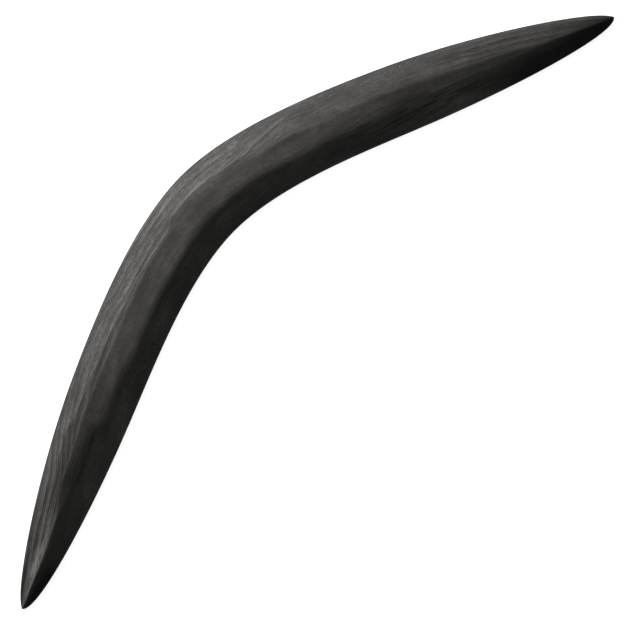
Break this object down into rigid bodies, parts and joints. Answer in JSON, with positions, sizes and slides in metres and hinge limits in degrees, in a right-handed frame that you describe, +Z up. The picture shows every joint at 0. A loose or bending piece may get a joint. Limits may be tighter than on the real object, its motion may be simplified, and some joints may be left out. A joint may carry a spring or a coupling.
{
  "type": "boomerang",
  "caption": "Two-armed returning boomerang with a wide bend at the elbow, a flat underside and long bevels on its upper face; thrown spinning by hand.",
  "frame": {"origin": "under the middle of the bounding box, on the plane that the flat underside rests on; in plan this lies in the open air inside the elbow", "axes": "+X from tip to tip, +Y towards the outside of the elbow, +Z up out of the carved face"},
  "size_m": [0.5, 0.118, 0.0094],
  "materials": {
    "charcoal_wood": "dark charcoal-coloured open-grained wood, bare or thinly oiled, satin, with the grain following the bend"
  },
  "bodies": {
    "root": {"carved_body": "charcoal_wood"}
  },
  "joints": []
}
